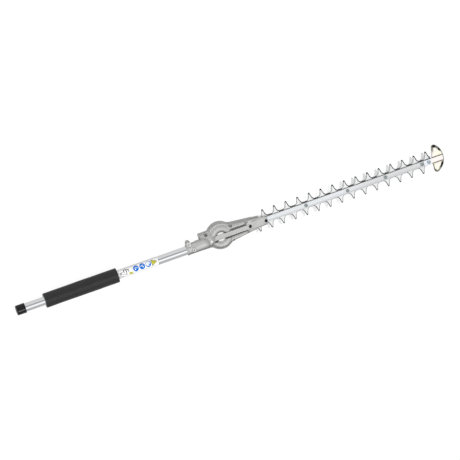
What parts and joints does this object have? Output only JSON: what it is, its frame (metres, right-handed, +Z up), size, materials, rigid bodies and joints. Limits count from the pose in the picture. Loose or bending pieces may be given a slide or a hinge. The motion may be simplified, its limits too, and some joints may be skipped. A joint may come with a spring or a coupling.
{
  "type": "pole hedge trimmer attachment",
  "caption": "Pole hedge trimmer attachment: aluminium pole with foam grip, cast gear case and two counter-moving toothed blades under a guide bar.",
  "frame": {"origin": "centre of the pole's rear mouth, on the pole's axis, where the power unit's shaft enters", "axes": "+X along the pole towards the blade tip, +Z up and away from the blades (the blades lie below the pole's axis, parallel to XY), +Y to the side of the clamp bolt"},
  "size_m": [1.2862, 0.0797, 0.0617],
  "materials": {
    "alu_tube": "satin anodised tube",
    "cap_rubber": "matt black rubber",
    "grip_foam": "fine closed-cell foam",
    "label_film": "printed plastic film",
    "shaft_steel": "turned steel",
    "bush_plastic": "moulded nylon",
    "case_alloy": "die-cast, shot-blasted",
    "gasket_paper": "compressed fibre",
    "screw_zinc": "bright zinc plate",
    "screw_black": "black oxide",
    "washer_zinc": "bright zinc plate",
    "bearing_steel": "ground and polished",
    "gear_steel": "hardened steel",
    "blade_steel": "ground blade steel",
    "bar_steel": "bright rolled steel",
    "seal_felt": "wool felt",
    "guard_zinc": "yellow passivated zinc"
  },
  "bodies": {
    "frame": {"outer_tube": "alu_tube", "foam_grip": "grip_foam", "pole_labels": "label_film", "shaft_bushings": "bush_plastic", "top_housing": "case_alloy", "bottom_cover": "case_alloy", "case_gasket": "gasket_paper", "case_screws": "screw_zinc", "clamp_bolt": "screw_zinc", "clamp_nut": "screw_zinc", "locating_screw": "screw_zinc", "bolt_washers": "washer_zinc", "grease_plug": "screw_zinc", "pinion_bearing_outers": "bearing_steel", "pinion_spacer": "shaft_steel", "pinion_circlip": "screw_black", "counter_bearing_outers": "bearing_steel", "crank_bearing_outers": "bearing_steel", "guide_bar": "bar_steel", "blade_bolts": "screw_zinc", "blade_collars": "shaft_steel", "blade_washers": "washer_zinc", "blade_nuts": "screw_zinc", "bar_screws": "screw_black", "dust_seals": "seal_felt", "tip_guard": "guard_zinc", "tip_guard_nut": "screw_zinc"},
    "drive_line": {"drive_shaft": "shaft_steel", "bevel_pinion": "gear_steel", "pinion_bearing_inners": "bearing_steel"},
    "counter_line": {"countershaft": "gear_steel", "bevel_gear": "gear_steel", "bevel_gear_screw": "screw_zinc", "counter_bearing_inners": "bearing_steel", "counter_circlip": "screw_black"},
    "crank_line": {"crank_shaft": "gear_steel", "crank_gear": "gear_steel", "upper_cam": "gear_steel", "lower_cam": "gear_steel", "cam_pins": "shaft_steel", "crank_bearing_inners": "bearing_steel"},
    "upper_blade_line": {"upper_blade": "blade_steel", "upper_yoke": "gear_steel", "upper_yoke_rivets": "shaft_steel"},
    "lower_blade_line": {"lower_blade": "blade_steel", "lower_yoke": "gear_steel", "lower_yoke_rivets": "shaft_steel"},
    "cap_line": {"end_cap": "cap_rubber"}
  },
  "joints": [
    {"name": "crank_spin", "type": "hinge", "parent": "frame", "child": "crank_line", "pos_m": [0.612, 0, 0], "axis": [0, 0, 1], "range_deg": [-142.3, 37.6]},
    {"name": "countershaft_spin", "type": "hinge", "parent": "frame", "child": "counter_line", "pos_m": [0.576, 0, 0], "axis": [0, 0, 1], "range_deg": [-152.4, 571.2]},
    {"name": "drive_shaft_spin", "type": "hinge", "parent": "frame", "child": "drive_line", "pos_m": [0.5, 0, 0], "axis": [1, 0, 0], "range_deg": [-726.44, 193.42]},
    {"name": "upper_blade_slide", "type": "slide", "parent": "frame", "child": "upper_blade_line", "axis": [1, 0, 0], "range_m": [-0.01267, 0.00336]},
    {"name": "lower_blade_slide", "type": "slide", "parent": "frame", "child": "lower_blade_line", "axis": [1, 0, 0], "range_m": [-0.00336, 0.01267]},
    {"name": "end_cap_pull", "type": "slide", "parent": "frame", "child": "cap_line", "axis": [-1, 0, 0], "range_m": [0, 0.15]}
  ],
  "couplings": [
    {"joint": "countershaft_spin", "follows": "crank_spin", "ratio": -4},
    {"joint": "drive_shaft_spin", "follows": "crank_spin", "ratio": 5.0909},
    {"joint": "upper_blade_slide", "follows": "crank_spin", "m_per_rad": 0.005093},
    {"joint": "lower_blade_slide", "follows": "crank_spin", "m_per_rad": -0.005093}
  ]
}
